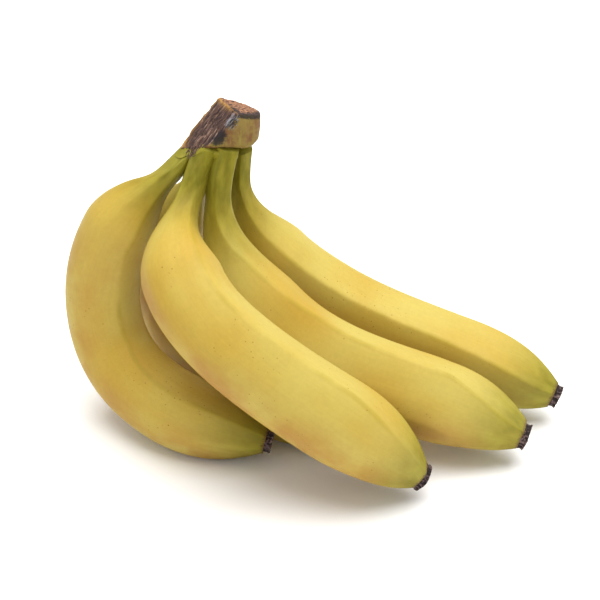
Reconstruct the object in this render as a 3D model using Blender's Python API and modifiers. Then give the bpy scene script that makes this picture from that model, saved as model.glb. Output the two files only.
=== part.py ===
"""A bunch of five bananas, joined at the crown and lying on a flat surface.

Metres, +Z up. The origin is under the middle of the bunch, on the surface that it lies on.
Each banana is a loft of five-sided rings along its own centre line, from the thin neck to
the dried blossom end. The crown is the woody cushion that the five necks grow from.
"""

import math

import bmesh
import bpy
import numpy as np
from mathutils import Vector

MM = 0.001
GAP = 0.3 * MM  # between pieces that touch

# Each banana: seven places along its centre line, from inside the crown to the blossom end,
# half its thickness, its neck's as a part of that, where along the length the neck has
# widened to the full body, how much thicker it grows towards the far end, the power of its
# taper, half the thickness of the dried blossom end, and how far its ridges are turned.
# Millimetres and degrees, but for the shoulder, which is a part of the length.
BANANAS = {
    "banana_left": dict(
        line=[(-48.2, 19.4, 131.5), (-59.6, 21.6, 112.8), (-72.4, 23, 99.0), (-87.6, 20, 73),
              (-85, 12, 31.2), (-55, -13.5, 17.1), (-17.5, -25, 10)],
        girth=16.3, neck=0.25, shoulder=0.29, swell=0.12, taper=2.3, tip=4.4, roll=16,
    ),
    "banana_rear": dict(
        line=[(-39, 30, 125), (-47, 34, 108), (-54, 40, 91), (-66, 49.6, 59.5),
              (-57, 44.6, 23.2), (-26, 7.5, 16.2), (6, -16.5, 6)],
        girth=16.2, neck=0.25, shoulder=0.29, swell=0.02, taper=2.3, tip=4.8, roll=52,
    ),
    "banana_front": dict(
        line=[(-42.1, 12.8, 134), (-48.8, 15.3, 108.4), (-55, 0, 96.6), (-49, -26, 80.6),
              (-21.1, -42.4, 58.2), (12.7, -48.9, 35.2), (44, -49, 9.8)],
        girth=17.5, neck=0.24, shoulder=0.33, swell=0.22, taper=2.6, tip=5.4, roll=51,
    ),
    "banana_middle": dict(
        line=[(-33.9, 14, 132), (-38.2, 15, 106), (-37, 10, 86), (-22.4, -2, 62),
              (10.5, -11.6, 39.8), (50, -17.1, 26.2), (89, -25.5, 13)],
        girth=18.0, neck=0.22, shoulder=0.41, swell=0.00, taper=3.0, tip=5.6, roll=12,
    ),
    "banana_right": dict(
        line=[(-29.2, 22, 129), (-31, 29, 105), (-27, 32, 83), (-8.2, 33.5, 57.7),
              (28, 26, 38), (67, 16, 26), (106.2, 4.5, 12.8)],
        girth=16.4, neck=0.25, shoulder=0.33, swell=0.00, taper=3.4, tip=5.1, roll=16,
    ),
}

# The shape that all five share, as parts of the length or of the half thickness
NECK_END = 0.11        # where the neck starts to widen
TAPER_START = 0.75     # where the body starts to narrow
STUB_START = 0.972     # the dried blossom end
STUB_WAIST = 0.86      # its waist, as a part of its lip
RIDGES = 5
RIDGE_BODY = 0.022     # how far the ridges stand out, on the body
RIDGE_ENDS = 0.075     # and near the neck and the blossom end

RINGS = 36
SIDES = 30

# The crown: a barrel on a leaning seat, with straight knife cuts. Each ring of the
# barrel has its height, the two places of its middle, half its width and half its depth,
# in millimetres.
SEAT_AT = Vector((-38, 20, 121.5)) * MM
SEAT = Vector((0.10, 0.45, 0.89)).normalized()
CROWN_RINGS = [
    (108, -41.0, 23.5, 16.5, 14.0),
    (118, -40.4, 22.6, 16.4, 13.6),
    (126, -38.8, 20.8, 16.0, 12.4),
    (136, -37.0, 20.0, 15.4, 11.6),
    (150, -36.4, 20.0, 14.8, 11.2),
]
CROWN_SIDES = 40
KNIFE_CUTS = [  # a place on each cut, in mm, and the way that it faces
    ((-34.0, 20.0, 143.8), (0.24, 0.19, 0.95)),
    ((-40.5, 19.9, 137.8), (-0.70, -0.22, 0.68)),
    ((-34.8, 18.4, 144.2), (-0.58, -0.21, 0.79)),
]
CUT_EDGE = 0.8 * MM

PEEL = dict(colour=(0.72, 0.52, 0.09), roughness=0.45)
CROWN_WOOD = dict(colour=(0.16, 0.10, 0.05), roughness=0.80)


def clear_scene():
    for old in list(bpy.data.objects):
        bpy.data.objects.remove(old, do_unlink=True)


def make_collection(name):
    collection = bpy.data.collections.new(name)
    bpy.context.scene.collection.children.link(collection)
    return collection


def make_material(name, colour, roughness):
    material = bpy.data.materials.new(name)
    material.use_nodes = True
    shader = material.node_tree.nodes["Principled BSDF"]
    shader.inputs["Base Color"].default_value = (*colour, 1)
    shader.inputs["Roughness"].default_value = roughness
    shader.inputs["Metallic"].default_value = 0
    return material


def natural_spline(places, count):
    """A smooth curve through the places: cubic pieces that meet with equal bend."""
    places = np.array(places, float)
    reach = np.linalg.norm(np.diff(places, axis=0), axis=1)
    keys = np.concatenate([[0], np.cumsum(reach)])
    last = len(keys) - 1
    system = np.eye(len(keys))
    wanted = np.zeros_like(places)
    for i in range(1, last):
        system[i, i - 1] = reach[i - 1]
        system[i, i] = 2 * (reach[i - 1] + reach[i])
        system[i, i + 1] = reach[i]
        after = (places[i + 1] - places[i]) / reach[i]
        before = (places[i] - places[i - 1]) / reach[i - 1]
        wanted[i] = 6 * (after - before)
    bend = np.linalg.solve(system, wanted)
    at = np.linspace(0, keys[-1], count)
    i = np.clip(np.searchsorted(keys, at, side="right") - 1, 0, last - 1)
    span = reach[i][:, None]
    past = (at - keys[i])[:, None]
    left = span - past
    curved = (bend[i] * left**3 + bend[i + 1] * past**3) / (6 * span)
    straight_start = (places[i] / span - bend[i] * span / 6) * left
    straight_end = (places[i + 1] / span - bend[i + 1] * span / 6) * past
    return curved + straight_start + straight_end


def along_length(curve, parts):
    """Points and directions at the given parts of the curve's length."""
    steps = np.linalg.norm(np.diff(curve, axis=0), axis=1)
    length = np.concatenate([[0], np.cumsum(steps)])
    length /= length[-1]
    slope = np.gradient(curve, axis=0)
    points = np.stack([np.interp(parts, length, curve[:, k]) for k in range(3)], axis=1)
    heading = np.stack([np.interp(parts, length, slope[:, k]) for k in range(3)], axis=1)
    return points, heading / np.linalg.norm(heading, axis=1)[:, None]


def ease(x):
    x = np.clip(x, 0, 1)
    return x * x * (3 - 2 * x)


def half_thickness(parts, girth, neck, shoulder, swell, taper, tip):
    """Thin neck, full body, rounded taper, then the waist and lip of the blossom end."""
    widening = neck + (1 - neck) * ease((parts - NECK_END) / (shoulder - NECK_END))
    full = girth * widening * (1 + swell * (parts - 0.55))
    narrowing = np.clip((parts - TAPER_START) / (STUB_START - TAPER_START), 0, 1)
    narrowing = narrowing**taper
    body = full * (1 - narrowing) + tip * narrowing
    flare = ease((parts - STUB_START) / (1 - STUB_START))
    stub = tip * (STUB_WAIST + (1 - STUB_WAIST) * flare)
    return np.where(parts < STUB_START, body, stub)


def ridge_height(parts):
    """The ridges are low on the body and stand out towards both ends."""
    near_neck = 1 - ease(parts / 0.35)
    near_tip = ease((parts - 0.72) / 0.22)
    return RIDGE_BODY + (RIDGE_ENDS - RIDGE_BODY) * np.maximum(near_neck, near_tip)


def banana_stations():
    body = np.linspace(0, STUB_START - 0.001, RINGS - 4)
    stub = np.array([STUB_START + 0.001, 0.982, 0.992, 1.0])
    return np.concatenate([body, stub])


def banana_rings(line, roll, **sizes):
    parts = banana_stations()
    points, heading = along_length(natural_spline(line, 400), parts)
    # the bend lies close to one plane: its normal steadies the rings
    chord = points[-1] - points[0]
    belly = points[len(points) // 2] - (points[0] + points[-1]) / 2
    normal = np.cross(belly, chord)
    across = normal - (heading @ normal)[:, None] * heading
    across /= np.linalg.norm(across, axis=1)[:, None]
    outwards = np.cross(heading, across)
    radius = half_thickness(parts, **sizes)
    angle = np.linspace(0, 2 * math.pi, SIDES, endpoint=False)
    wave = np.cos(RIDGES * (angle - math.radians(roll)))
    wave = wave + 0.25 * (wave**2 - 0.5)
    reach = radius[:, None] * (1 + ridge_height(parts)[:, None] * wave[None, :])
    sideways = np.cos(angle)[None, :, None] * across[:, None, :]
    away = np.sin(angle)[None, :, None] * outwards[:, None, :]
    return (points[:, None, :] + reach[:, :, None] * (sideways + away)) * MM


def loft(rings):
    """A closed solid through rings that have the same number of points."""
    shape = bmesh.new()
    layers = [[shape.verts.new(point) for point in ring] for ring in rings]
    for lower, upper in zip(layers, layers[1:]):
        for i in range(len(lower)):
            j = (i + 1) % len(lower)
            shape.faces.new((lower[i], lower[j], upper[j], upper[i]))
    shape.faces.new(list(reversed(layers[0])))
    shape.faces.new(layers[-1])
    bmesh.ops.recalc_face_normals(shape, faces=shape.faces[:])
    return shape


def cut_away(shape, point, normal):
    """Cuts off what lies beyond a plane and closes the cut with one face."""
    everything = shape.verts[:] + shape.edges[:] + shape.faces[:]
    cut = bmesh.ops.bisect_plane(
        shape, geom=everything, dist=1e-7, plane_co=point, plane_no=normal, clear_outer=True
    )
    rim = [item for item in cut["geom_cut"] if isinstance(item, bmesh.types.BMEdge)]
    bmesh.ops.contextual_create(shape, geom=rim)
    bmesh.ops.recalc_face_normals(shape, faces=shape.faces[:])


def add_object(name, shape, collection, material):
    mesh = bpy.data.meshes.new(name)
    shape.to_mesh(mesh)
    shape.free()
    mesh.materials.append(material)
    mesh.shade_smooth()
    mesh.set_sharp_from_angle(angle=math.radians(40))
    solid = bpy.data.objects.new(name, mesh)
    collection.objects.link(solid)
    return solid


def make_banana(name, sizes, collection, material):
    shape = loft(banana_rings(**sizes))
    cut_away(shape, SEAT_AT, SEAT)
    return add_object(name, shape, collection, material)


def crown_rings():
    rings = []
    for height, middle_x, middle_y, half_width, half_depth in CROWN_RINGS:
        ring = []
        for i in range(CROWN_SIDES):
            turn = 2 * math.pi * i / CROWN_SIDES
            x = middle_x + math.cos(turn) * half_width
            y = middle_y + math.sin(turn) * half_depth
            ring.append(Vector((x, y, height)) * MM)
        rings.append(ring)
    return rings


def make_crown(collection, material):
    shape = loft(crown_rings())
    cut_away(shape, SEAT_AT + GAP * SEAT, -SEAT)
    for place, facing in KNIFE_CUTS:
        cut_away(shape, Vector(place) * MM, Vector(facing).normalized())
    crown = add_object("crown", shape, collection, material)
    edge = crown.modifiers.new("worn edges", "BEVEL")
    edge.width = CUT_EDGE
    edge.segments = 2
    edge.limit_method = "ANGLE"
    edge.angle_limit = math.radians(35)
    return crown


def main():
    clear_scene()
    bunch = make_collection("bunch of bananas")
    peel = make_material("banana peel", **PEEL)
    wood = make_material("dried crown", **CROWN_WOOD)
    for name, sizes in BANANAS.items():
        make_banana(name, sizes, bunch, peel)
    make_crown(bunch, wood)


main()
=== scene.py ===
import math

import bpy
import numpy as np
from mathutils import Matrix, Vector


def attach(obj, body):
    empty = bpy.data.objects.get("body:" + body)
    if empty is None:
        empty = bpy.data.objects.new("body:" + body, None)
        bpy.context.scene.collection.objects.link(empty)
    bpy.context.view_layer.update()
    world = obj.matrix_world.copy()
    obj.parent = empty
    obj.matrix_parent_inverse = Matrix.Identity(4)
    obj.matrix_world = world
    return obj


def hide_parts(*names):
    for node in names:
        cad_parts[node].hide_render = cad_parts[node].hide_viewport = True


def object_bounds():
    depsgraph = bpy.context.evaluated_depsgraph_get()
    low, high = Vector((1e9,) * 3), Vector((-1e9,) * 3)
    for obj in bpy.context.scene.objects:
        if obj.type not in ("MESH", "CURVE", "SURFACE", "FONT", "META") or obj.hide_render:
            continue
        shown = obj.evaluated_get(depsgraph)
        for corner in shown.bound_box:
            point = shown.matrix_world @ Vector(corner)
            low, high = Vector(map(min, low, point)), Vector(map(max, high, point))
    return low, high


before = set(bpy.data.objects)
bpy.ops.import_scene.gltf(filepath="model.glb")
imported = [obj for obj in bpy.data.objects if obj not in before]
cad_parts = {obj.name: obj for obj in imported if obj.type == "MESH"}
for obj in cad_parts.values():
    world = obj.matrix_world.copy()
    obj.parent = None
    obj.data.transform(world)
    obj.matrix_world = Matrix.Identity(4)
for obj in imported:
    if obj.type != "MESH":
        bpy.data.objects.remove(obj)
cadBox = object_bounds()
print("frame loaded:", ", ".join(sorted(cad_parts)))

mm = 0.001


# A direction made 1 long
def unit(direction):
    return np.array(direction) / np.linalg.norm(direction)


# How far points lie past a plane, the way that it faces, in mm
def beyond(points, plane):
    return (points - np.array(plane["place"])) @ unit(plane["facing"])


# 0 below 0, 1 above 1, and 3 x squared - 2 x cubed between
def ease(x):
    x = np.clip(x, 0, 1)
    return x * x * (3 - 2 * x)


# Evenly spaced angles round a whole turn
def wholeTurn(sides):
    return np.linspace(0, 2 * math.pi, sides, endpoint=False)


# The larger of two fields, and where they are within blend of each other, a little more
def smoothMax(a, b, blend):
    share = np.maximum(blend - np.abs(a - b), 0) / blend
    return np.maximum(a, b) + share * share * blend / 4


def smoothMin(a, b, blend):
    return -smoothMax(-a, -b, blend)


# Random numbers at whole-number places, joined by a smooth blend. -1 to 1. The large odd
# numbers only scramble the bits
def latticeNoise(points, seed):
    cell = np.floor(points).astype(np.int64)
    blend = ease(points - cell)
    total = np.zeros(points.shape[:-1])
    for corner in np.ndindex(2, 2, 2):
        key = (cell + np.array(corner)) @ np.array([73856093, 19349663, 83492791]) + seed * 7919
        key = (key ^ (key >> 13)) * 1274126177 & 0xFFFFFFFF
        key = (key ^ (key >> 16)) * 668265263 & 0xFFFFFFFF
        share = np.where(np.array(corner) == 1, blend, 1 - blend).prod(axis=-1)
        total += share * ((key ^ (key >> 15)) / 0xFFFFFFFF * 2 - 1)
    return total


# Lattice noise, and copies of it about twice as fine, at half the height each time
def roughNoise(points, octaves, seed):
    finer = 2.03
    return sum(latticeNoise(points * finer**k, seed + k) / 2**k for k in range(octaves))


# A smooth curve through the places: cubic pieces that meet with equal bend, and no bend at the ends
def naturalSpline(places, count):
    places = np.array(places, float)
    reach = np.linalg.norm(np.diff(places, axis=0), axis=1)
    keys = np.concatenate([[0], np.cumsum(reach)])
    last = len(keys) - 1
    system = np.eye(len(keys))
    wanted = np.zeros_like(places)
    for i in range(1, last):
        system[i, i - 1:i + 2] = reach[i - 1], 2 * (reach[i - 1] + reach[i]), reach[i]
        after = (places[i + 1] - places[i]) / reach[i]
        before = (places[i] - places[i - 1]) / reach[i - 1]
        wanted[i] = 6 * (after - before)
    bend = np.linalg.solve(system, wanted)
    at = np.linspace(0, keys[-1], count)
    i = np.clip(np.searchsorted(keys, at, side="right") - 1, 0, last - 1)
    span = reach[i][:, None]
    past = (at - keys[i])[:, None]
    left = span - past
    curved = (bend[i] * left**3 + bend[i + 1] * past**3) / (6 * span)
    fromStart = (places[i] / span - bend[i] * span / 6) * left
    toEnd = (places[i + 1] / span - bend[i + 1] * span / 6) * past
    return curved + fromStart + toEnd


# Places, directions and the length, at the given parts of the curve's length
def alongLength(curve, parts):
    steps = np.linalg.norm(np.diff(curve, axis=0), axis=1)
    length = np.concatenate([[0], np.cumsum(steps)])
    slope = np.gradient(curve, axis=0)
    at = parts * length[-1]
    places = np.stack([np.interp(at, length, curve[:, k]) for k in range(3)], axis=1)
    heading = np.stack([np.interp(at, length, slope[:, k]) for k in range(3)], axis=1)
    return places, heading / np.linalg.norm(heading, axis=1)[:, None], length[-1]


# Square to the step along and the step round, and pointing away from the middle
def gridNormals(rows):
    along = np.gradient(rows, axis=0)
    around = np.roll(rows, -1, axis=1) - np.roll(rows, 1, axis=1)
    normals = np.cross(along, around)
    normals /= np.linalg.norm(normals, axis=2)[:, :, None] + 1e-9
    outward = np.einsum("ijk,ijk->ij", normals, rows - rows.mean(axis=(0, 1)))
    return normals * np.sign(outward.sum())


# A closed skin over rings of points: a four-sided face between neighbours, and a fan of
# triangles to a pole in the middle of each end ring. rows is rings x sides x 3, in mm. The
# faces turn round where the volume comes out below 0
def gridMesh(name, rows):
    count, sides = rows.shape[:2]
    poles = [rows[0].mean(axis=0), rows[-1].mean(axis=0)]
    points = np.concatenate([rows.reshape(-1, 3), np.array(poles)]) * mm
    ring = np.arange(count - 1)[:, None] * sides
    here = np.arange(sides)[None, :]
    after = (here + 1) % sides
    quads = np.stack([ring + here, ring + after, ring + sides + after, ring + sides + here], -1)
    quads = quads.reshape(-1, 4)
    first = np.stack([np.full(sides, count * sides), after[0], here[0]], -1)
    top = (count - 1) * sides
    last = np.stack([np.full(sides, count * sides + 1), top + here[0], top + after[0]], -1)
    fans = np.concatenate([first, last])
    centre = points.mean(axis=0)
    a, b, c, d = (points[quads[:, k]] - centre for k in range(4))
    volume = np.einsum("ij,ij->i", a, np.cross(b, c)) + np.einsum("ij,ij->i", a, np.cross(c, d))
    if volume.sum() < 0:
        quads, fans = quads[:, ::-1], fans[:, ::-1]
    mesh = bpy.data.meshes.new(name)
    corners = np.concatenate([quads.ravel(), fans.ravel()]).astype(np.int32)
    starts = np.concatenate([np.arange(len(quads)) * 4, len(quads) * 4 + np.arange(len(fans)) * 3])
    mesh.vertices.add(len(points))
    mesh.vertices.foreach_set("co", points.astype(np.float32).ravel())
    mesh.loops.add(len(corners))
    mesh.loops.foreach_set("vertex_index", corners)
    mesh.polygons.add(len(quads) + len(fans))
    mesh.polygons.foreach_set("loop_start", starts.astype(np.int32))
    mesh.update(calc_edges=True)
    mesh.validate()
    mesh.shade_smooth()
    return mesh


# Stores a number or a triple for each point. Each pole takes its end ring's mean
def paintPoints(mesh, name, values):
    triple = values.ndim == 3
    flat = values.reshape(-1, 3) if triple else values.reshape(-1)
    ends = np.stack([values[0].mean(axis=0), values[-1].mean(axis=0)])
    flat = np.concatenate([flat, ends.reshape(-1, 3) if triple else ends])
    kind, field = ("FLOAT_VECTOR", "vector") if triple else ("FLOAT", "value")
    layer = mesh.attributes.new(name, kind, "POINT")
    layer.data.foreach_set(field, flat.astype(np.float32).ravel())


# Puts a mesh in the scene as one piece of the bunch
def addPiece(name, mesh, material, slotName, *nodes):
    piece = bpy.data.objects.new(name, mesh)
    bpy.context.scene.collection.objects.link(piece)
    mesh.materials.append(material)
    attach(piece, "root")
    if nodes:
        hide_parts(*nodes)
    return piece


# A colour as a screen shows it, 0 to 255, made the linear one that Blender mixes
def paint(red, green, blue):
    shown = np.array([red, green, blue]) / 255
    linear = np.where(shown > 0.04045, ((shown + 0.055) / 1.055) ** 2.4, shown / 12.92)
    return (*linear.tolist(), 1.0)


# sockets are by name or number; each is a value, or an output to link from
def addNode(tree, kind, sockets, **settings):
    made = tree.nodes.new("ShaderNode" + kind)
    for name, value in settings.items():
        setattr(made, name, value)
    for name, value in sockets.items():
        if isinstance(value, bpy.types.NodeSocket):
            tree.links.new(value, made.inputs[name])
        else:
            made.inputs[name].default_value = value
    return made


# a x (1 - share) + b x share, or another blend of the two
def mixColour(tree, share, a, b, blend="MIX"):
    return addNode(tree, "Mix", {0: share, 6: a, 7: b}, data_type="RGBA",
                   blend_type=blend).outputs[2]


# One step of arithmetic on two numbers
def sums(tree, operation, a, b=0.0, clamp=False):
    return addNode(tree, "Math", {0: a, 1: b}, operation=operation, use_clamp=clamp).outputs[0]


def times(tree, a, b, clamp=False):
    return sums(tree, "MULTIPLY", a, b, clamp)


# 0 below low, 1 above high, smooth between; turned round where low is above high
def between(tree, value, low, high, toLow=0.0, toHigh=1.0):
    if low > high:
        low, high, toLow, toHigh = high, low, toHigh, toLow
    return addNode(tree, "MapRange", {0: value, 1: low, 2: high, 3: toLow, 4: toHigh},
                   interpolation_type="SMOOTHSTEP").outputs[0]


# A place times a number for each axis
def stretch(tree, vector, scale):
    return addNode(tree, "VectorMath", {0: vector, 1: scale}, operation="MULTIPLY").outputs[0]


# Soft random patches, 0 to 1; scale is how many fit in a unit of the place
def noise(tree, vector, scale, detail=2.0, roughness=0.5):
    return addNode(tree, "TexNoise", {"Vector": vector, "Scale": scale, "Detail": detail,
                                      "Roughness": roughness}).outputs[0]


# Noise less its middle value, so that it goes both ways from 0
def wobble(tree, vector, scale, detail=2.0, roughness=0.5):
    return sums(tree, "SUBTRACT", noise(tree, vector, scale, detail, roughness), 0.5)


# What paintPoints stored under this name
def attribute(tree, name, output="Fac"):
    return addNode(tree, "Attribute", {}, attribute_name=name).outputs[output]


def newGroup(name, inputs, outputs):
    group = bpy.data.node_groups.new(name, "ShaderNodeTree")
    for title, kind, value in inputs:
        made = group.interface.new_socket(title, in_out="INPUT", socket_type="NodeSocket" + kind)
        if value is not None:
            made.default_value = value
    for title, kind in outputs:
        group.interface.new_socket(title, in_out="OUTPUT", socket_type="NodeSocket" + kind)
    return group, group.nodes.new("NodeGroupInput").outputs, group.nodes.new("NodeGroupOutput")


def newMaterial(name):
    material = bpy.data.materials.new(name)
    material.use_nodes = True
    return material, material.node_tree, material.node_tree.nodes["Principled BSDF"]


# Feeds a height to the shader's normal; deep is in mm
def addBump(tree, shader, height, strength, deep):
    bump = addNode(tree, "Bump", {"Strength": strength, "Distance": deep * mm, "Height": height})
    tree.links.new(bump.outputs[0], shader.inputs["Normal"])


# Lengths are in mm on the skin. Each row of specks is spacing, size, and how patchy they are
# The warm colour is painted shade: the darker tone given to the sides that face down and left, away from
# the light
peelLook = dict(
    light=paint(190, 171, 86), gold=paint(182, 149, 57), warmShade=paint(172, 130, 58),
    green=paint(146, 138, 42), deepGreen=paint(116, 110, 24), ridgeGreen=paint(158, 136, 38),
    speck=paint(122, 76, 36), stain=paint(96, 66, 44),
    ridgeFar=6.0, ridgeNear=1.0, ridgeShare=0.5, uneven=0.4, stainShare=0.85,
    specks=((5.0, 0.22, 0.50), (1.8, 0.19, 0.56), (16.0, 0.45, 0.5)), speckShare=0.7,
    smooth=0.47, rough=0.58, speckRough=0.2, shine=0.15, bump=0.35, bumpDeep=0.12,
)


# Small dark specks: near a scattered point, and only where a broad noise lets them be
def speckGroup():
    group, given, out = newGroup(
        "skin specks",
        [("Place", "Vector", None), ("Spacing", "Float", 6.0), ("Size", "Float", 0.4),
         ("Patchiness", "Float", 0.5)],
        [("Specks", "Float")])
    smallest, softness, patchScale = 0.35, 0.12, 0.035
    perMm = sums(group, "DIVIDE", 1.0, given["Spacing"])
    cells = addNode(group, "TexVoronoi", {"Vector": given["Place"], "Scale": perMm})
    away = times(group, cells.outputs["Distance"], given["Spacing"])
    pick = addNode(group, "SeparateColor", {0: cells.outputs["Color"]}).outputs[0]
    size = times(group, given["Size"], sums(group, "ADD", smallest, pick))
    near = sums(group, "SUBTRACT", size, away)
    dot = between(group, near, -softness, softness)
    allowed = sums(group, "GREATER_THAN", noise(group, given["Place"], patchScale),
                   given["Patchiness"])
    group.links.new(times(group, dot, allowed), out.inputs["Specks"])
    return group


# Fine lines along the fruit: noise that is stretched along its length
def fibreGroup():
    group, given, out = newGroup(
        "lengthwise fibres", [("Place", "Vector", None)], [("Fibres", "Float"), ("Pores", "Float")])
    drawnOut = stretch(group, given["Place"], (0.05, 1.1, 1.1))
    group.links.new(noise(group, drawnOut, 1.0, 3.0, 0.6), out.inputs["Fibres"])
    group.links.new(noise(group, given["Place"], 1.4, 2.0, 0.6), out.inputs["Pores"])
    return group


specks = speckGroup()
fibres = fibreGroup()


def makePeel():
    look = peelLook
    material, tree, shader = newMaterial("banana peel")
    place = attribute(tree, "skinPlace", "Vector")
    green = attribute(tree, "green")
    ridgeOff = addNode(tree, "Math", {0: attribute(tree, "ridgeOff")}, operation="ABSOLUTE")
    ridge = between(tree, ridgeOff.outputs[0], look["ridgeFar"], look["ridgeNear"])
    lines = addNode(tree, "Group", {"Place": place}, node_tree=fibres)
    # broad patches of pale and golden yellow, then painted shade: a darker, warmer tone on the sides
    # that face down and left, away from the light
    broad = noise(tree, stretch(tree, place, (0.6, 1.0, 1.0)), 0.03, 2.0, 0.45)
    colour = mixColour(tree, between(tree, broad, 0.30, 0.70), look["gold"], look["light"])
    warmth = between(tree, noise(tree, place, 0.05, 3.0), 0.3, 0.7)
    colour = mixColour(tree, times(tree, attribute(tree, "shadedSide"), warmth), colour, look["warmShade"])
    # green along the ridges, and at the neck and the tip
    along = times(tree, ridge, between(tree, noise(tree, place, 0.06), 0.3, 0.7))
    colour = mixColour(tree, times(tree, along, look["ridgeShare"]), colour, look["ridgeGreen"])
    uneven = times(tree, wobble(tree, place, 0.12, 3.0), look["uneven"])
    greenShare = sums(tree, "ADD", green, times(tree, uneven, green), True)
    greens = mixColour(tree, between(tree, noise(tree, place, 0.1), 0.25, 0.75),
                       look["green"], look["deepGreen"])
    colour = mixColour(tree, greenShare, colour, greens)
    # faint lines along the fruit, then a fine mottle
    lineTone = between(tree, lines.outputs["Fibres"], 0.25, 0.75, 0.975, 1.02)
    colour = mixColour(tree, 1.0, colour, lineTone, "MULTIPLY")
    mottle = between(tree, noise(tree, place, 0.55, 4.0, 0.7), 0.25, 0.75, 0.955, 1.03)
    colour = mixColour(tree, 1.0, colour, mottle, "MULTIPLY")
    # specks, large and small, and the brown stain by the dried tip
    marks = None
    for spacing, size, patchiness in look["specks"]:
        given = {"Place": place, "Spacing": spacing, "Size": size, "Patchiness": patchiness}
        made = addNode(tree, "Group", given, node_tree=specks).outputs[0]
        marks = made if marks is None else sums(tree, "MAXIMUM", marks, made)
    colour = mixColour(tree, times(tree, marks, look["speckShare"]), colour, look["speck"])
    stain = sums(tree, "ADD", attribute(tree, "stain"), wobble(tree, place, 0.9, 3.0))
    stain = times(tree, between(tree, stain, 0.45, 0.95), look["stainShare"])
    colour = mixColour(tree, stain, colour, look["stain"])
    tree.links.new(colour, shader.inputs["Base Color"])
    rough = between(tree, noise(tree, place, 0.2, 3.0), 0.3, 0.7, look["smooth"], look["rough"])
    tree.links.new(sums(tree, "ADD", rough, times(tree, marks, look["speckRough"])),
                   shader.inputs["Roughness"])
    height = sums(tree, "ADD", times(tree, lines.outputs["Fibres"], 0.7),
                  times(tree, lines.outputs["Pores"], 0.3))
    height = sums(tree, "SUBTRACT", height, times(tree, marks, 0.4))
    addBump(tree, shader, height, look["bump"], look["bumpDeep"])
    shader.inputs["Specular IOR Level"].default_value = look["shine"]
    return material


peel = makePeel()
print("peel material made")

# What each banana is: seven places along its middle in mm, half its thickness, the neck's share
# of that, where along the length the neck widens and where it is the full body, how much the
# body swells towards the tip, how steeply it tapers, half the dried end's width, how far past
# the seat the neck starts in mm, how the ridges are turned in degrees at parts of the length,
# and by its angle how far each ridge stands out on the body
bananas = {
    "banana_left": dict(
        line=[(-48.2, 19.4, 131.5), (-59.6, 21.6, 112.8), (-72.4, 23, 99.0), (-87.6, 20, 73),
              (-85, 12, 31.2), (-55, -13.5, 17.1), (-17.5, -25, 10)],
        girth=16.3, neck=0.34, widens=0.12, shoulder=0.29, swell=0.12, taper=2.0, tip=4.9, start=7.5,
        turns=[(0.1, 316), (0.3, 314), (0.4, 306), (0.6, 304), (0.8, 313)],
        ridges={0: 0.065, 50: 0.02, 120: 0.01, 195: 0.03, 277: 0.03}),
    "banana_rear": dict(
        line=[(-39, 30, 125), (-47, 34, 108), (-54, 40, 91), (-66, 49.6, 59.5),
              (-57, 44.6, 23.2), (-26, 6.6, 15.8), (6, -20, 5.8)],
        girth=16.2, neck=0.28, widens=0.11, shoulder=0.29, swell=0.02, taper=2.0, tip=4.8, start=4.5,
        turns=[(0.1, 268), (0.9, 268)],
        ridges={0: 0.05, 72: 0.05, 144: 0.03, 216: 0.03, 288: 0.04}),
    "banana_front": dict(
        line=[(-42.1, 12.8, 134), (-50.2, 14.6, 108.6), (-55.4, 0, 96.8), (-49, -26, 80.6),
              (-21.1, -42.4, 58.2), (12.7, -48.9, 35.2), (44, -49, 9.8)],
        girth=17.5, neck=0.35, widens=0.16, shoulder=0.35, swell=0.22, taper=2.25, tip=6.1, start=4.5,
        turns=[(0.1, 352), (0.35, 348), (0.5, 340), (0.75, 338), (0.84, 347), (0.95, 356)],
        ridges={0: 0.13, 78: 0.02, 150: 0.03, 220: 0.04, 290: 0.04}),
    "banana_middle": dict(
        line=[(-34.3, 14, 132), (-39.2, 15, 106), (-37.2, 10, 86), (-22.4, -2, 62),
              (10.5, -11.6, 39.8), (50, -17.1, 26.2), (89, -25.5, 13)],
        girth=18.0, neck=0.30, widens=0.12, shoulder=0.41, swell=0.00, taper=2.45, tip=6.3, start=4.5,
        turns=[(0.16, 365), (0.22, 342), (0.28, 323), (0.37, 312), (0.48, 302), (0.8, 304), (0.95, 329)],
        ridges={0: 0.17, 72: 0.04, 146: 0.03, 218: 0.04, 290: 0.04}),
    "banana_right": dict(
        line=[(-29.2, 22, 129), (-31, 29, 105), (-27, 32, 83), (-8.2, 33.5, 57.7),
              (28, 26, 38), (67, 16, 26), (106.2, 4.5, 12.8)],
        girth=16.4, neck=0.28, widens=0.12, shoulder=0.33, swell=0.00, taper=2.95, tip=5.7, start=4.5,
        turns=[(0.12, 340), (0.19, 318), (0.26, 305), (0.4, 300), (0.6, 300), (0.8, 304), (0.95, 313)],
        ridges={0: 0.18, 72: 0.07, 148: 0.03, 220: 0.04, 290: 0.03}),
}

# The growth that all five share. From and To are parts of the length, and Over is how much of
# it a change takes; ridgeEnds is how far every ridge stands out at the neck and the tip.
# Ridge angles are in degrees, and shrink, lump, underCut and the two after it in mm
growth = dict(
    rows=420, sides=160, curvePoints=600, shrink=0.15, taperFrom=0.75, stubFrom=0.985, swellFrom=0.55,
    ridgeEnds=0.13, ridgeSoft=1.6, ridgeSpan=38, ridgeNeckTo=0.30, ridgeTipFrom=0.72, ridgeTipOver=0.22,
    faintRidge=0.06, faintOff=200, lump=0.16, lumpScale=(0.03, 0.06, 0.06), patternApart=400,
    searchTo=0.2, searchSteps=200, underCut=1.2, cutFrom=-14, cutOver=8,
)

# Where the skin is green or stained, and where painted shade gives it a darker, warmer tone: on the side
# that faces down and left, away from the light
ripenessAndShade = dict(
    neckFrom=0.07, neckOver=0.75, tipGreen=0.9, tipFrom=0.82, tipOver=0.17, stainFrom=0.962,
    stainOver=0.03, shadeBase=0.5, shadeDown=0.8, shadeLeft=0.35, shadeFrom=0.15, shadeOver=0.2,
)

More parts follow.
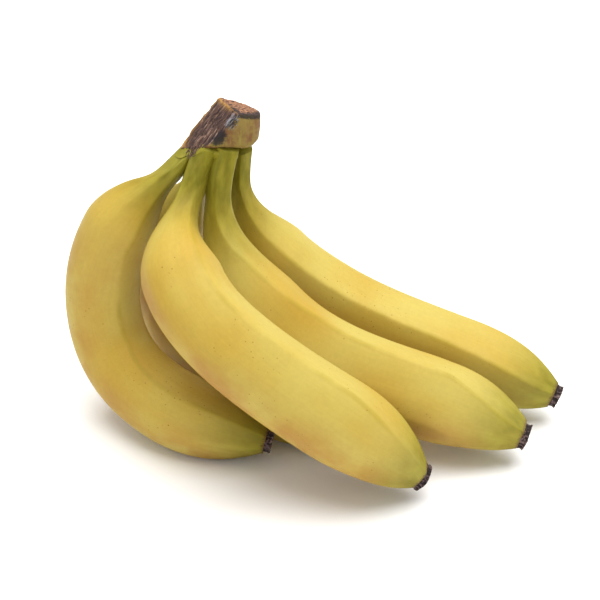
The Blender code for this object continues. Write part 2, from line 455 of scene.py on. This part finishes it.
# The seat is where the necks meet the crown. Places in mm; each direction faces outwards
seat = dict(place=(-38, 20, 121.5), facing=(0.10, 0.45, 0.89))
sideCut = dict(place=(-40.5, 19.9, 137.8), facing=(-0.70, -0.22, 0.68))


def middleLine(b):
    return naturalSpline(b["line"], growth["curvePoints"])


# Half thickness: full x (1 - taper) + dried end x taper, where full is the girth, thinned at
# the neck and swelling evenly, and taper is the part of the way to the tip, to a power
def halfThickness(parts, b):
    g = growth
    grown = ease((parts - b["widens"]) / (b["shoulder"] - b["widens"]))
    swell = 1 + b["swell"] * (parts - g["swellFrom"])
    full = b["girth"] * (b["neck"] + (1 - b["neck"]) * grown) * swell
    taper = np.clip((parts - g["taperFrom"]) / (g["stubFrom"] - g["taperFrom"]), 0, 1)
    taper = taper ** b["taper"]
    return full * (1 - taper) + b["tip"] * taper


# Places on the middle line, and two directions square to it. The bend lies close to one
# plane, whose normal steadies them
def bananaFrame(b, parts):
    curve = middleLine(b)
    places, heading, length = alongLength(curve, parts)
    ends, _, _ = alongLength(curve, np.array([0, 0.5, 1]))
    normal = np.cross(ends[1] - (ends[0] + ends[2]) / 2, ends[2] - ends[0])
    across = normal - (heading @ normal)[:, None] * heading
    across /= np.linalg.norm(across, axis=1)[:, None]
    return places, heading, across, np.cross(heading, across), length


# Spokes round the middle line: cos(angle) x across + flatness x sin(angle) x outwards
def spokesRound(angle, across, outwards, flatness=1.0):
    spokes = np.cos(angle)[None, :, None] * across[:, None, :]
    return spokes + flatness * np.sin(angle)[None, :, None] * outwards[:, None, :]


# Each ridge adds height x (1 - distance / span) squared, so that the sides between two
# ridges are nearly flat. The heights even out towards the ends, and all the ridges turn
# together along the length. Gives the part by which the outline passes a circle, and the
# distance to the nearest ridge in degrees, where a faint ridge counts as further away
def ridgeShape(angle, b, parts, atEnds):
    g = growth
    turn = np.interp(parts, *np.transpose(b["turns"]))
    total, nearest = np.zeros((len(parts), len(angle))), np.full((len(parts), len(angle)), 180.0)
    for ridge, height in b["ridges"].items():
        at = (turn + ridge)[:, None]
        off = np.abs((np.degrees(angle)[None, :] - at + 180) % 360 - 180)
        soft = np.hypot(off, g["ridgeSoft"]) - g["ridgeSoft"]
        here = height + (max(g["ridgeEnds"], height) - height) * atEnds
        total += here[:, None] * np.maximum(1 - soft / g["ridgeSpan"], 0) ** 2
        faint = g["faintRidge"] - min(height, g["faintRidge"])
        nearest = np.minimum(nearest, off + g["faintOff"] * faint)
    return total - total.mean(axis=1)[:, None], nearest


# Middle line + half thickness x (1 + ridges) x spoke, with low lumps. skin says where each
# point is on a straight round fruit, so that patterns follow the bend
def bananaRows(b, parts, angle, index):
    g = growth
    places, _, across, outwards, length = bananaFrame(b, parts)
    atTip = ease((parts - g["ridgeTipFrom"]) / g["ridgeTipOver"])
    atEnds = np.maximum(1 - ease(parts / g["ridgeNeckTo"]), atTip)
    outline, offRidge = ridgeShape(angle, b, parts, atEnds)
    radius = halfThickness(parts, b) - g["shrink"]
    reach = radius[:, None] * (1 + outline)
    skin = np.stack([
        np.broadcast_to(parts[:, None] * length + g["patternApart"] * index, reach.shape),
        np.broadcast_to(b["girth"] * np.cos(angle)[None, :], reach.shape),
        np.broadcast_to(b["girth"] * np.sin(angle)[None, :], reach.shape)], axis=-1)
    fullness = np.minimum(radius / b["girth"], 1)[:, None]
    reach = reach + g["lump"] * fullness * roughNoise(skin * g["lumpScale"], 2, index)
    spokes = spokesRound(angle, across, outwards)
    return places[:, None, :] + reach[:, :, None] * spokes, skin, offRidge, spokes


# The peel runs from just past the seat to the dried end. Points past the side cut are pushed
# back along its facing, to end just under it
def makeBanana(node, b, index):
    g, r = growth, ripenessAndShade
    searched = np.linspace(0, g["searchTo"], g["searchSteps"])
    places, _, _ = alongLength(middleLine(b), searched)
    buried = searched[np.abs(beyond(places, seat) - b["start"]).argmin()]
    parts = np.linspace(buried, g["stubFrom"], g["rows"])
    angle = wholeTurn(g["sides"])
    rows, skin, offRidge, spokes = bananaRows(b, parts, angle, index)
    past = np.maximum(beyond(rows, sideCut) + g["underCut"], 0)
    past = past * ease((beyond(rows, seat) - g["cutFrom"]) / g["cutOver"])
    rows = rows - past[:, :, None] * unit(sideCut["facing"])
    mesh = gridMesh(node, rows)
    neckGreen = 1 - ease((parts - r["neckFrom"]) / (r["neckOver"] * b["shoulder"]))
    tipGreen = r["tipGreen"] * ease((parts - r["tipFrom"]) / r["tipOver"])
    stain = ease((parts - r["stainFrom"]) / r["stainOver"])
    # painted shade: a darker, warmer tone on the sides that face down and left, away from the light,
    # from a little way past the neck
    below = ease(r["shadeBase"] - r["shadeDown"] * spokes[:, :, 2] - r["shadeLeft"] * spokes[:, :, 0])
    allRound = np.ones(len(angle))[None, :]
    paintPoints(mesh, "skinPlace", skin)
    paintPoints(mesh, "green", np.maximum(neckGreen, tipGreen)[:, None] * allRound)
    paintPoints(mesh, "ridgeOff", offRidge)
    paintPoints(mesh, "stain", stain[:, None] * allRound)
    paintPoints(mesh, "shadedSide", below * ease((parts - r["shadeFrom"]) / r["shadeOver"])[:, None])
    return addPiece(node.replace("_", "-") + "-peel", mesh, peel, "peel", node)


for index, (node, b) in enumerate(bananas.items()):
    made = makeBanana(node, b, index)
    print("made", made.name)


# The dried blossom end. sunkProfile is in mm under the peel's end, and profile in parts of the
# end's length; beside each is the part of the half width there. It goes out over a waist and
# a lip, then back down into the hollow middle. Depths and widths are in mm
blossom = dict(
    rings=90, sides=150, trim=0.25, sunkProfile=[(-2.0, 0.60), (-1.0, 0.90), (0.0, 0.97)],
    profile=[(0.22, 0.95), (0.50, 0.92), (0.78, 0.98), (0.92, 0.97), (0.98, 0.86), (0.86, 0.72),
             (0.50, 0.52), (0.30, 0.30), (0.40, 0.12)],
    waves=(2, 3, 4, 5, 7), waveDepth=0.085, crumple=0.20, crumpleScale=0.35, folds=3.5,
    foldDrift=0.28, foldShare=0.6, foldDepth=0.30, foldLevel=0.9, wrinkleScale=(0.9, 0.9, 1.3),
    lipAt=0.88, lipWidth=0.7, insideFrom=0.66, hollowWithin=0.92, hollowOver=0.4,
)

# deep is painted shade down in the folds and in the hollow, and pale a painted highlight on what stands
# out
stubLook = dict(
    bark=paint(92, 74, 72), pale=paint(150, 132, 130), deep=paint(40, 30, 28),
    unevenScale=1.1, uneven=0.9, hollowShare=0.75, rough=0.8, shine=0.25, bump=0.6, bumpDeep=0.2,
)


def makeDried():
    look = stubLook
    material, tree, shader = newMaterial("dried blossom end")
    place = addNode(tree, "TexCoord", {}).outputs["Object"]
    placeMm = stretch(tree, place, (1000, 1000, 1000))
    uneven = times(tree, wobble(tree, placeMm, look["unevenScale"], 4.0, 0.6), look["uneven"])
    # painted shade and highlight in the folds: by their height the colour runs from the darkest brown
    # down in them to bark on top, with a random tone mixed in
    tone = sums(tree, "ADD", attribute(tree, "raised"), uneven)
    colour = mixColour(tree, between(tree, tone, 0.15, 0.75), look["deep"], look["bark"])
    # painted highlight: paler on the lip and on what stands out; painted shade: darker in the hollow
    # middle
    pale = times(tree, between(tree, tone, 0.55, 1.05),
                 sums(tree, "ADD", attribute(tree, "lip"), 0.3), True)
    colour = mixColour(tree, pale, colour, look["pale"])
    hollow = times(tree, attribute(tree, "hollow"), look["hollowShare"])
    colour = mixColour(tree, hollow, colour, look["deep"])
    tree.links.new(colour, shader.inputs["Base Color"])
    shader.inputs["Roughness"].default_value = look["rough"]
    shader.inputs["Specular IOR Level"].default_value = look["shine"]
    height = noise(tree, placeMm, 2.5, 4.0, 0.65)
    addBump(tree, shader, height, look["bump"], look["bumpDeep"])
    return material


# A short crumpled tube: end's half width x profile x (1 + waves) round the middle line, with
# folds along it and finer wrinkles, each 1 - 2 |noise|, raised square to the skin
def makeStub(node, b, index):
    s = blossom
    _, _, length = alongLength(middleLine(b), np.array([0, 1]))
    long = (1 - growth["stubFrom"]) * length
    profile = np.array(s["sunkProfile"] + [(part * long, width) for part, width in s["profile"]])
    curve = naturalSpline(np.column_stack([profile, profile[:, :1] * 0]), s["rings"])
    parts = growth["stubFrom"] + curve[:, 0] / length
    places, heading, across, outwards, _ = bananaFrame(b, parts)
    angle = wholeTurn(s["sides"])
    random = np.random.default_rng(40 + index)
    outline = sum(random.uniform(0.3, 1) / k * np.cos(k * angle + random.uniform(0, 6.28))
                  for k in s["waves"])
    outline = s["waveDepth"] * outline / np.abs(outline).max()
    reach = b["tip"] * curve[:, 1:2] * (1 + outline[None, :]) - s["trim"]
    rows = places[:, None, :] + reach[:, :, None] * spokesRound(angle, across, outwards)
    bends = roughNoise(rows * s["crumpleScale"], 2, 90 + index)[:, :, None]
    rows = rows + s["crumple"] * bends * heading[:, None, :]
    lengthwise = np.stack([np.cos(angle), np.sin(angle), 0 * angle], -1)[None] * s["folds"]
    lengthwise = lengthwise + curve[:, None, :1] * (0, 0, s["foldDrift"])
    folds = 1 - 2 * np.abs(roughNoise(lengthwise, 3, 70 + index))
    wrinkles = 1 - 2 * np.abs(roughNoise(rows * s["wrinkleScale"], 3, 110 + index))
    raised = s["foldShare"] * folds + (1 - s["foldShare"]) * wrinkles
    rows = rows + (s["foldDepth"] * (raised - s["foldLevel"]))[:, :, None] * gridNormals(rows)
    mesh = gridMesh(node + "-stub", rows)
    allRound = np.ones(len(angle))[None, :]
    lip = np.exp(-((curve[:, 0] - s["lipAt"] * long) / s["lipWidth"]) ** 2)
    inside = np.linspace(0, 1, s["rings"]) > s["insideFrom"]
    hollow = ease(inside * (s["hollowWithin"] - curve[:, 1]) / s["hollowOver"])
    # raised drives painted shade in the folds and a painted highlight on what stands out; hollow is
    # painted shade in the hollow middle
    paintPoints(mesh, "raised", raised)
    paintPoints(mesh, "lip", lip[:, None] * allRound)
    paintPoints(mesh, "hollow", hollow[:, None] * allRound)
    return addPiece(node.replace("_", "-") + "-blossom-end", mesh, dried, "peel", node)


dried = makeDried()
for index, (node, b) in enumerate(bananas.items()):
    makeStub(node, b, index)
print("blossom ends made")


# The barrel's rings are height, middle x, middle y, half width and half depth. Five planes cut
# it. Soft, Edge, Size and Width are how far in mm a change or a mark reaches; Deep is its depth
crown = dict(
    rings=230, sides=400, heart=(-37.5, 20.5, 133.5), furthest=34, inset=0.10, blend=1.2,
    barrel=[(118, -40.4, 22.6, 16.4, 13.6), (126, -38.8, 20.8, 16.0, 12.4),
            (136, -37.0, 20.0, 15.4, 11.6), (150, -36.4, 20.0, 14.8, 11.2)],
    top=dict(place=(-34.0, 20.0, 143.8), facing=(0.24, 0.19, 0.95)),
    corner=dict(place=(-34.8, 18.4, 144.2), facing=(-0.58, -0.21, 0.79)),
    base=dict(place=(-36.0, 20.0, 124.4), facing=(0.02, -0.45, -0.87)),
    rim=dict(place=(-25.0, 14.0, 128.5), facing=(0.62, -0.25, -0.74)),
    sideSoft=1.6, topSoft=1.2, edgeWidth=1.4,
    grain=(-0.62, -0.30, -0.72), wander=1.2, wanderScale=0.16, grainScale=(0.07, 0.75),
    chipScale=0.5, pitScale=0.55, fluteScale=(0.45, 0.45, 0.12), nickScale=0.4,
    grooveDeep=0.7, chipDeep=0.5, topDeep=0.40, skinDeep=0.20, scarDeep=1.1, nickDeep=0.6,
    scar=(-39.1, 8.5, 134.6), scarSize=4.2, scarWander=0.9, sap=(-34.0, 9.0, 142.2), sapSize=5.6,
    bandWidth=2.6, bandMiddle=2, bandEnd=28, bandFade=16, backFrom=14, backOver=6,
)

crownLook = dict(
    fibre=paint(110, 82, 68), fibreDark=paint(50, 36, 36), fibrePale=paint(186, 160, 140),
    top=paint(160, 116, 84), topDark=paint(84, 56, 44), black=paint(34, 30, 34),
    sap=paint(138, 136, 140), skin=paint(136, 114, 58), skinBrown=paint(120, 84, 50),
    skinGreen=paint(140, 128, 56), rim=paint(176, 132, 66),
    rimShare=0.9, bandShare=0.88, sapShare=0.9, scarShare=0.95, sapRagged=1.6,
    rough=0.75, shine=0.25, bump=0.55, bumpDeep=0.3,
)


def makeCrownWood():
    look = crownLook
    material, tree, shader = newMaterial("dried crown")
    place = stretch(tree, addNode(tree, "TexCoord", {}).outputs["Object"], (1000, 1000, 1000))
    grainPlace = attribute(tree, "grainPlace", "Vector")
    cutSide, cutTop = attribute(tree, "cutSide"), attribute(tree, "cutTop")
    # skin: olive, browner in places, with upright green streaks
    streak = noise(tree, stretch(tree, place, (0.5, 0.5, 0.1)), 1.0, 3.0, 0.6)
    skin = mixColour(tree, between(tree, noise(tree, place, 0.16, 4.0, 0.6), 0.42, 0.62),
                     look["skin"], look["skinBrown"])
    skin = mixColour(tree, between(tree, streak, 0.52, 0.7), skin, look["skinGreen"])
    # side: fibres along the grain
    strands = noise(tree, stretch(tree, grainPlace, (0.10, 1.3, 1.3)), 1.0, 5.0, 0.65)
    fibre = mixColour(tree, between(tree, strands, 0.36, 0.62), look["fibreDark"], look["fibre"])
    fibre = mixColour(tree, between(tree, strands, 0.56, 0.70), fibre, look["fibrePale"])
    fibre = mixColour(tree, between(tree, attribute(tree, "groove"), 0.12, 0.0), fibre,
                      look["fibreDark"])
    # top: orange brown with dark spots
    grainy = noise(tree, place, 0.75, 5.0, 0.7)
    top = mixColour(tree, between(tree, grainy, 0.38, 0.60), look["topDark"], look["top"])
    top = mixColour(tree, between(tree, noise(tree, place, 0.55), 0.60, 0.70), top, look["black"])
    colour = mixColour(tree, cutSide, skin, fibre)
    rim = times(tree, attribute(tree, "backEdge"), look["rimShare"])
    colour = mixColour(tree, rim, colour, look["rim"])
    colour = mixColour(tree, cutTop, colour, top)
    # dark dried band round the top, pale sap on the corner, and the black scar
    ragged = wobble(tree, place, 0.7, 5.0, 0.75)
    band = sums(tree, "ADD", attribute(tree, "topBand"), ragged)
    band = times(tree, between(tree, band, 0.40, 0.70), look["bandShare"])
    colour = mixColour(tree, band, colour, look["black"])
    sap = sums(tree, "ADD", attribute(tree, "sap"), times(tree, ragged, look["sapRagged"]))
    sapTone = mixColour(tree, between(tree, strands, 0.40, 0.60), look["black"], look["sap"])
    sap = times(tree, between(tree, sap, 0.5, 0.8), look["sapShare"])
    colour = mixColour(tree, sap, colour, sapTone)
    scar = sums(tree, "ADD", attribute(tree, "scar"), ragged)
    scar = times(tree, between(tree, scar, 0.30, 0.75), look["scarShare"])
    colour = mixColour(tree, scar, colour, look["black"])
    tree.links.new(colour, shader.inputs["Base Color"])
    shader.inputs["Roughness"].default_value = look["rough"]
    shader.inputs["Specular IOR Level"].default_value = look["shine"]
    height = sums(tree, "ADD", times(tree, strands, cutSide), grainy)
    addBump(tree, shader, height, look["bump"], look["bumpDeep"])
    return material


# Below 0 inside the barrel: (distance from the middle / half size - 1) x half size
def barrelField(points):
    rings = np.array(crown["barrel"])
    x, y, width, depth = (np.interp(points[..., 2], rings[:, 0], rings[:, k]) for k in range(1, 5))
    away = np.hypot((points[..., 0] - x) / width, (points[..., 1] - y) / depth)
    return (away - 1) * np.minimum(width, depth)


def crownFields(points):
    faces = [crown["top"], sideCut, crown["corner"], crown["base"], crown["rim"]]
    return [barrelField(points)] + [beyond(points, face) for face in faces]


# The smooth largest of the barrel's field and the planes', which is below 0 inside them all
def crownField(points):
    whole = None
    for field in crownFields(points):
        whole = field if whole is None else smoothMax(whole, field, crown["blend"])
    return whole + crown["inset"]


# Rays from a point inside, over a sphere of directions: halving finds where each one
# passes out of the shape
def castRows(field, heart, rings, sides, furthest):
    down = np.linspace(0.01, math.pi - 0.01, rings)[:, None]
    turn = wholeTurn(sides)[None, :]
    rays = np.stack([np.sin(down) * np.cos(turn), np.sin(down) * np.sin(turn),
                     np.cos(down) * np.ones_like(turn)], axis=-1)
    near, far = np.zeros((rings, sides)), np.full((rings, sides), float(furthest))
    for _ in range(26):
        middle = (near + far) / 2
        inside = field(np.array(heart) + middle[..., None] * rays) < 0
        near, far = np.where(inside, middle, near), np.where(inside, far, middle)
    return np.array(heart) + near[..., None] * rays


# 1 at a place, falling to 1/e at the given reach
def nearPlace(points, place, reach):
    return np.exp(-(np.linalg.norm(points - np.array(place), axis=-1) / reach) ** 2)


# The cut barrel, sunk by grooves along the grain on the side cut, pits on the top, flutes on
# the skin, the scar, and nicks along the cut's edge
def makeCrown():
    c = crown
    rows = castRows(crownField, c["heart"], c["rings"], c["sides"], c["furthest"])
    barrel, top, side, corner, base, _ = crownFields(rows)
    cuts = np.maximum(side, corner)
    cutSide = ease((cuts - np.maximum(barrel, top)) / c["sideSoft"] + 0.5)
    cutTop = ease((top - np.maximum(barrel, cuts)) / c["topSoft"] + 0.5)
    skin = np.clip(1 - cutSide - cutTop, 0, 1)
    # the grain runs down the side cut; these are mm along it and across it
    grain = unit(c["grain"])
    across = unit(np.cross(grain, unit(sideCut["facing"])))
    alongGrain, acrossGrain = rows @ grain, rows @ across
    wander = c["wander"] * latticeNoise(rows * c["wanderScale"], 300)
    slow, quick = c["grainScale"]
    lines = np.stack([alongGrain * slow, (acrossGrain + wander) * quick, alongGrain * 0], -1)
    grooves = np.abs(roughNoise(lines, 4, 310))
    chips = np.maximum(roughNoise(rows * c["chipScale"], 3, 320), 0)
    pits = np.abs(roughNoise(rows * c["pitScale"], 4, 330))
    flutes = roughNoise(rows * c["fluteScale"], 3, 340)
    nicks = np.maximum(roughNoise(rows * c["nickScale"], 2, 350), 0)
    shifted = rows + c["scarWander"] * np.stack([wander, wander * 0, wander], -1)
    scar = nearPlace(shifted, c["scar"], c["scarSize"])
    sap = nearPlace(rows, c["sap"], c["sapSize"])
    edge = np.exp(-((side - np.maximum(barrel, top)) / c["edgeWidth"]) ** 2) * (base < -1)
    depth = cutSide * (c["grooveDeep"] * grooves + c["chipDeep"] * chips)
    depth = depth + cutTop * c["topDeep"] * pits + skin * c["skinDeep"] * (0.5 + flutes)
    depth = depth + c["scarDeep"] * scar + c["nickDeep"] * edge * nicks
    rows = rows - depth[..., None] * gridNormals(rows)
    # the dried band follows the edge between the top and the skin, and fades at the back
    offBand = np.minimum(top, 0) - np.minimum(np.maximum(barrel, side), 0)
    atFront = ease((c["bandEnd"] - np.abs(rows[..., 1] - c["bandMiddle"])) / c["bandFade"])
    layers = dict(
        grainPlace=np.stack([alongGrain, acrossGrain + wander, beyond(rows, sideCut)], -1),
        cutSide=cutSide, cutTop=cutTop, scar=scar, sap=sap, groove=grooves,
        topBand=np.exp(-(offBand / c["bandWidth"]) ** 2) * atFront * (1 - cutSide),
        backEdge=edge * ease((rows[..., 1] - c["backFrom"]) / c["backOver"]))
    mesh = gridMesh("crown", rows)
    for name, values in layers.items():
        paintPoints(mesh, name, values)
    return addPiece("crown-cut", mesh, crownWood, "crown wood", "crown")


crownWood = makeCrownWood()
makeCrown()
print("crown made")


# Torn fibres hang from the side cut's lowest edge. Roots run from first to last, in mm, and
# each tip lies within hang of its root; thick and thin are half widths
torn = dict(
    count=8, first=(-51.2, 14.0, 126.2), last=(-45.6, 12.4, 128.8), hang=(-1.5, -2.4, -3.4),
    scatter=0.3, shortest=0.4, longest=1.0, sway=0.3, thick=0.42, thin=0.13, flatness=0.6,
    lump=0.12, lumpScale=1.5, rings=36, sides=12,
)


# A strand along a spline that sways more towards its tip, evenly thinner from root to tip
def makeFibre(index):
    t = torn
    random = np.random.default_rng(60 + index)
    share = (index + random.uniform(-t["scatter"], t["scatter"])) / (t["count"] - 1)
    root = np.array(t["first"]) * (1 - share) + np.array(t["last"]) * share
    reach = np.array(t["hang"]) * random.uniform(t["shortest"], t["longest"])
    sway = random.uniform(-t["sway"], t["sway"], (3, 3))
    line = [root - 0.4 * reach, root + 0.15 * reach, root + 0.55 * reach + sway[0],
            root + 0.85 * reach + sway[1], root + reach + 1.4 * sway[2]]
    parts = np.linspace(0, 1, t["rings"])
    places, _, across, outwards, length = bananaFrame(dict(line=line), parts)
    angle = wholeTurn(t["sides"])
    radius = t["thick"] * (1 - parts) + t["thin"] * parts
    spokes = spokesRound(angle, across, outwards, t["flatness"])
    rows = places[:, None, :] + radius[:, None, None] * spokes
    lumps = roughNoise(rows * t["lumpScale"], 2, 500 + index)
    rows = rows + t["lump"] * lumps[..., None] * spokes
    mesh = gridMesh("fibre", rows)
    # the same bark as the side cut, with no top, sap or scar on it
    flat = np.zeros(rows.shape[:2])
    around = 3 * angle[None, :] + 9 * index + flat
    paintPoints(mesh, "grainPlace", np.stack([parts[:, None] * length + flat, around, flat], -1))
    for name in ("cutTop", "scar", "sap", "topBand", "backEdge"):
        paintPoints(mesh, name, flat)
    paintPoints(mesh, "cutSide", flat + 1)
    paintPoints(mesh, "groove", flat + 0.2)
    return addPiece("crown-fibre-" + str(index + 1), mesh, crownWood, "crown wood", "crown")


for index in range(torn["count"]):
    makeFibre(index)
print("torn fibres made")


# The collar, where the necks grow together under the crown. Heights are in mm above the seat.
# The core is what fills the middle, web how far two necks reach for each other, and tuck and
# narrowing how far the skin lies inside the necks, at the seat and more at both ends
collar = dict(
    rings=80, sides=280, top=3.4, bottom=-2.8, core=5.5, coreEnd=-5.5, coreLeast=0.2, web=3.4,
    tuck=0.7, narrowing=3.2, furthest=24, steps=140, neckPart=0.25, neckSteps=120,
    underCut=0.9, lump=0.25, lumpScale=0.25, patternPlace=2000, ridgesOff=30,
)


# Where each neck's middle is on the seat plane at each height, its half thickness, and how
# upright it stands
def neckTracks(heights, right, back, facing):
    c = collar
    parts = np.linspace(0, c["neckPart"], c["neckSteps"])
    necks = []
    for b in bananas.values():
        places, heading, _, _, _ = bananaFrame(b, parts)
        local = places - np.array(seat["place"])
        tracks = [local @ right, local @ back, halfThickness(parts, b), np.abs(heading @ facing)]
        h = beyond(places, seat)[::-1]
        necks.append([np.interp(heights, h, track[::-1]) for track in tracks])
    return np.array(necks)


# Rings in planes along the seat. Round each, the ray out of the middle ends where it
# leaves the smooth smallest of five round necks and a core that shrinks below
def makeCollar():
    c = collar
    facing = unit(seat["facing"])
    right = unit(np.cross((0, 1, 0), facing))
    back = np.cross(facing, right)
    heights = np.linspace(c["top"], c["bottom"], c["rings"])
    turn = wholeTurn(c["sides"])
    reach = np.linspace(0, c["furthest"], c["steps"])
    necks = neckTracks(heights, right, back, facing)
    middle = necks[:, :2].mean(axis=0)
    x = middle[0][:, None, None] + reach * np.cos(turn)[None, :, None]
    y = middle[1][:, None, None] + reach * np.sin(turn)[None, :, None]
    share = ease((heights - c["coreEnd"]) / (c["top"] - c["coreEnd"]))
    toEnd = np.where(heights > 0, heights / c["top"], heights / c["bottom"])
    inwards = c["tuck"] + c["narrowing"] * toEnd ** 2
    whole = reach - (c["coreLeast"] + c["core"] * share)[:, None, None] * np.ones_like(x)
    for neckX, neckY, radius, lean in necks:
        away = np.hypot(x - neckX[:, None, None], y - neckY[:, None, None])
        field = away * lean[:, None, None] - (radius - inwards)[:, None, None]
        whole = smoothMin(whole, field, c["web"])
    out = np.maximum((whole > 0).argmax(axis=2), 1)
    after = np.take_along_axis(whole, out[..., None], 2)[..., 0]
    before = np.take_along_axis(whole, out[..., None] - 1, 2)[..., 0]
    ends = reach[out - 1] + (reach[1] - reach[0]) * np.clip(-before / (after - before), 0, 1)
    alongRight = middle[0][:, None] + ends * np.cos(turn)
    alongBack = middle[1][:, None] + ends * np.sin(turn)
    rows = np.array(seat["place"]) + alongRight[..., None] * right + alongBack[..., None] * back
    rows = rows + heights[:, None, None] * facing
    past = np.maximum(beyond(rows, sideCut) + c["underCut"], 0)
    rows = rows - past[:, :, None] * unit(sideCut["facing"])
    lumps = roughNoise(rows * c["lumpScale"], 3, 400)
    rows = rows + c["lump"] * lumps[..., None] * gridNormals(rows)
    mesh = gridMesh("collar", rows)
    # wholly green skin, far from any ridge
    flat = np.zeros(rows.shape[:2])
    paintPoints(mesh, "skinPlace", rows + c["patternPlace"])
    paintPoints(mesh, "green", flat + 1)
    paintPoints(mesh, "ridgeOff", flat + c["ridgesOff"])
    paintPoints(mesh, "stain", flat)
    paintPoints(mesh, "shadedSide", flat)
    return addPiece("neck-collar", mesh, peel, "peel", "crown")


makeCollar()
print("collar made")


# The floor and the light are in metres; the camera's target and distance are in mm
studio = dict(
    floorSize=8.0, floorTone=1.0, floorRough=0.9, keyPlace=(0.12, 0.08, 1.2), keyTarget=(0, 0, 0.05),
    keySize=1.6, keyPower=24.5, worldStrength=0.66,
    target=(-6, 8, 60), distance=700, elevation=31, lens=100, sensor=36, clipStart=0.01,
)


# A flat square at the height of the bunch's lowest point
def makeFloor():
    low = cadBox[0][2]
    half = studio["floorSize"] / 2
    mesh = bpy.data.meshes.new("floor")
    corners = [(-half, -half, low), (half, -half, low), (half, half, low), (-half, half, low)]
    mesh.from_pydata(corners, [], [(0, 1, 2, 3)])
    floor = bpy.data.objects.new("floor", mesh)
    bpy.context.scene.collection.objects.link(floor)
    material, _, shader = newMaterial("white floor")
    tone = studio["floorTone"]
    shader.inputs["Base Color"].default_value = (tone, tone, tone, 1)
    shader.inputs["Roughness"].default_value = studio["floorRough"]
    shader.inputs["Specular IOR Level"].default_value = 0.0
    mesh.materials.append(material)


# Turns a thing's -Z towards the target
def aim(thing, place, target):
    thing.location = place
    thing.rotation_euler = (Vector(target) - Vector(place)).to_track_quat("-Z", "Y").to_euler()


def makeLight():
    lamp = bpy.data.lights.new("soft box", "AREA")
    lamp.shape = "DISK"
    lamp.size = studio["keySize"]
    lamp.energy = studio["keyPower"]
    holder = bpy.data.objects.new("soft box", lamp)
    bpy.context.scene.collection.objects.link(holder)
    aim(holder, studio["keyPlace"], studio["keyTarget"])
    world = bpy.data.worlds.new("studio")
    world.use_nodes = True
    world.node_tree.nodes["Background"].inputs["Strength"].default_value = studio["worldStrength"]
    world.node_tree.nodes["Background"].inputs["Color"].default_value = (1, 1, 1, 1)
    bpy.context.scene.world = world
    bpy.context.scene.view_settings.view_transform = "Standard"


# The eye is distance away from the target, at elevation degrees above the floor
def makeCamera():
    tilt = math.radians(studio["elevation"])
    target = Vector(studio["target"]) * mm
    eye = target + Vector((0, -math.cos(tilt), math.sin(tilt))) * studio["distance"] * mm
    lens = bpy.data.cameras.new("camera")
    lens.lens = studio["lens"]
    lens.sensor_width = studio["sensor"]
    lens.clip_start = studio["clipStart"]
    holder = bpy.data.objects.new("camera", lens)
    bpy.context.scene.collection.objects.link(holder)
    aim(holder, eye, target)
    bpy.context.scene.camera = holder


makeFloor()
makeLight()
makeCamera()
print("floor, light and camera made")
